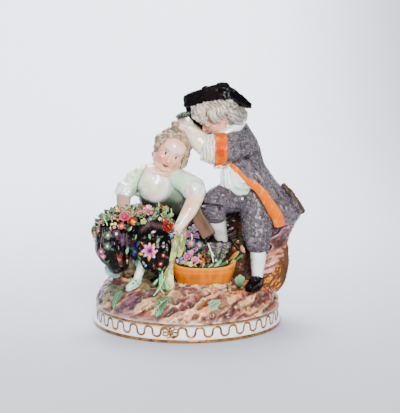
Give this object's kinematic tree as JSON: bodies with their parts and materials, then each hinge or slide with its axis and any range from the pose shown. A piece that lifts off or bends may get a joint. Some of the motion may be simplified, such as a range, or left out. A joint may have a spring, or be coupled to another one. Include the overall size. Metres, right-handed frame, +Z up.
{
  "type": "porcelain figure group",
  "caption": "Painted porcelain group on a round rocky base: a seated flower girl, a boy in a cocked hat who crowns her with a wreath, and a tub of flowers.",
  "frame": {"origin": "centre of the round plinth's flat underside", "axes": "+Z up; the group is seen looking along +Y, with the girl towards -X and the boy towards +X"},
  "size_m": [0.1286, 0.114, 0.147],
  "materials": {
    "glazed_porcelain": "white glazed porcelain with painted enamels and worn gilding"
  },
  "bodies": {
    "root": {"figure_group": "glazed_porcelain"}
  },
  "joints": []
}
